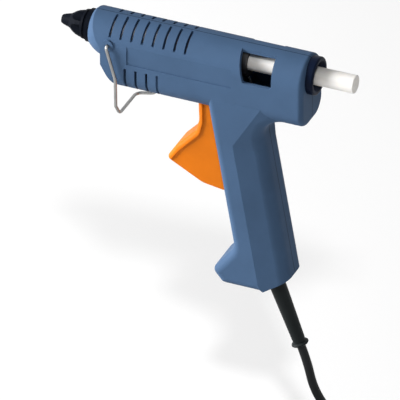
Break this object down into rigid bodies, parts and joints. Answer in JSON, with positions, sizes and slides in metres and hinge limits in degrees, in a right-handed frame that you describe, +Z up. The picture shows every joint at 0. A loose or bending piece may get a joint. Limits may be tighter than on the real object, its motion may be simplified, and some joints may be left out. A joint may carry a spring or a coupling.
{
  "type": "hot glue gun",
  "caption": "Pistol hot glue gun with trigger feed, heated nozzle, swing-out wire stand, sight window and mains cord with plug; melts and pushes a glue stick.",
  "frame": {"origin": "middle of the handle, where the hand holds it", "axes": "+X forward along the barrel to the nozzle, +Y to the gun's left, +Z up"},
  "size_m": [0.2407, 0.0698, 0.2856],
  "materials": {
    "housing": "fine spark-textured slate-blue moulding",
    "collar": "smooth near-black moulding",
    "cover": "black heat-resistant moulding",
    "nozzle_metal": "turned",
    "chamber_metal": "die cast",
    "ceramic": null,
    "electrode": "stamped strip",
    "film": "amber insulating film",
    "silicone": "red-brown silicone",
    "steel": "zinc plated",
    "trigger_plastic": "orange moulding",
    "carriage_plastic": "black moulding",
    "glue": "waxy translucent white",
    "stand_steel": "drawn wire",
    "lead_sleeve": "fibre-glass sleeved wire",
    "relief": "soft black moulding",
    "cord": "black flexible sheath",
    "tie": "black strap",
    "plug": "black moulding",
    "pin_metal": "nickel-plated"
  },
  "bodies": {
    "housing": {"housing_left": "housing", "housing_right": "housing", "housing_screws": "steel", "rear_collar": "collar", "nozzle_cover": "cover", "nozzle": "nozzle_metal", "melt_chamber": "chamber_metal", "heater_element": "ceramic", "heater_electrodes": "electrode", "heater_insulation": "film", "chamber_ring_front": "silicone", "chamber_ring_rear": "silicone", "inlet_sleeve": "silicone", "sleeve_band": "steel", "trigger_pin": "steel", "trigger_spring": "steel", "cord_clamp": "carriage_plastic", "cord_clamp_screws": "steel", "lead_live": "lead_sleeve", "lead_neutral": "lead_sleeve", "strain_relief": "relief", "cord_entry": "cord", "cord_free": "cord", "cord_hank": "cord", "cord_tie": "tie", "plug_body": "plug", "plug_pins": "pin_metal"},
    "trigger": {"trigger": "trigger_plastic"},
    "carriage": {"feed_carriage": "carriage_plastic", "jaw_pin": "steel"},
    "jaw": {"grip_jaw": "steel"},
    "stick": {"glue_stick": "glue"},
    "stand": {"stand_wire": "stand_steel"}
  },
  "joints": [
    {"name": "trigger_pivot", "type": "hinge", "parent": "housing", "child": "trigger", "pos_m": [0.0194, 0, 0.062], "axis": [0, 1, 0], "range_deg": [0, 20], "stiffness_Nm_per_rad": 0.57, "springref_deg": -5.73, "deforming": ["trigger_spring"]},
    {"name": "feed_slide", "type": "slide", "parent": "housing", "child": "carriage", "axis": [1, 0, 0], "range_m": [0, 0.0062]},
    {"name": "jaw_tilt", "type": "hinge", "parent": "carriage", "child": "jaw", "pos_m": [0.0134, 0, 0.075], "axis": [0, -1, 0], "range_deg": [0, 5.2]},
    {"name": "stick_slide", "type": "slide", "parent": "housing", "child": "stick", "axis": [1, 0, 0], "range_m": [-0.08, 0.036]},
    {"name": "stand_swing", "type": "hinge", "parent": "housing", "child": "stand", "pos_m": [0.0894, 0, 0.084], "axis": [0, -1, 0], "range_deg": [-20, 45]}
  ],
  "couplings": [
    {"joint": "feed_slide", "follows": "trigger_pivot", "m_per_rad": 0.01741},
    {"joint": "jaw_tilt", "follows": "trigger_pivot", "ratio": 0.25}
  ]
}
